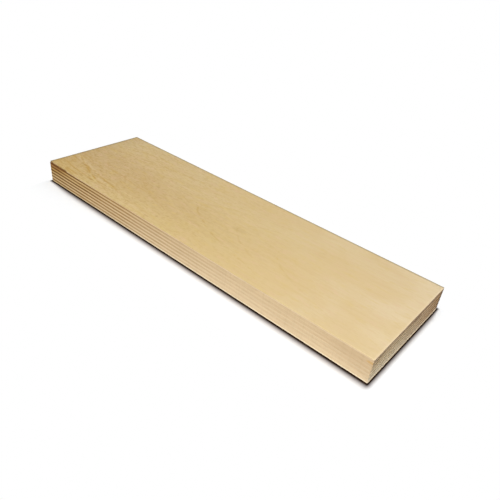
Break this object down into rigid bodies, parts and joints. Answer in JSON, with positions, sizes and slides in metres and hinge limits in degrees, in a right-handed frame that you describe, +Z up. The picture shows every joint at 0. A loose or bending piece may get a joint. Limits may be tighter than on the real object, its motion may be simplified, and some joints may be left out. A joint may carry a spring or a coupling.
{
  "type": "plywood sheet",
  "caption": "Flat rectangular board of birch plywood with pale sanded faces, crossed plies showing as light and brown lines on its sawn edges, and lightly eased arrises.",
  "frame": {"origin": "centre of the underside", "axes": "+X along the board's length and the grain of its outer faces, +Y across its width, +Z up through its thickness"},
  "size_m": [0.305, 0.089, 0.0175],
  "materials": {
    "face_veneer": "pale birch veneer, sanded, unfinished",
    "long_ply": "sawn birch, grain along the board",
    "cross_ply": "sawn birch, grain across the board"
  },
  "bodies": {
    "root": {"face_veneer": "face_veneer", "cross_ply_1": "cross_ply", "long_ply_1": "long_ply", "cross_ply_2": "cross_ply", "long_ply_2": "long_ply", "cross_ply_3": "cross_ply", "long_ply_3": "long_ply", "cross_ply_4": "cross_ply", "long_ply_4": "long_ply", "cross_ply_5": "cross_ply", "long_ply_5": "long_ply", "cross_ply_6": "cross_ply", "back_veneer": "face_veneer"}
  },
  "joints": []
}
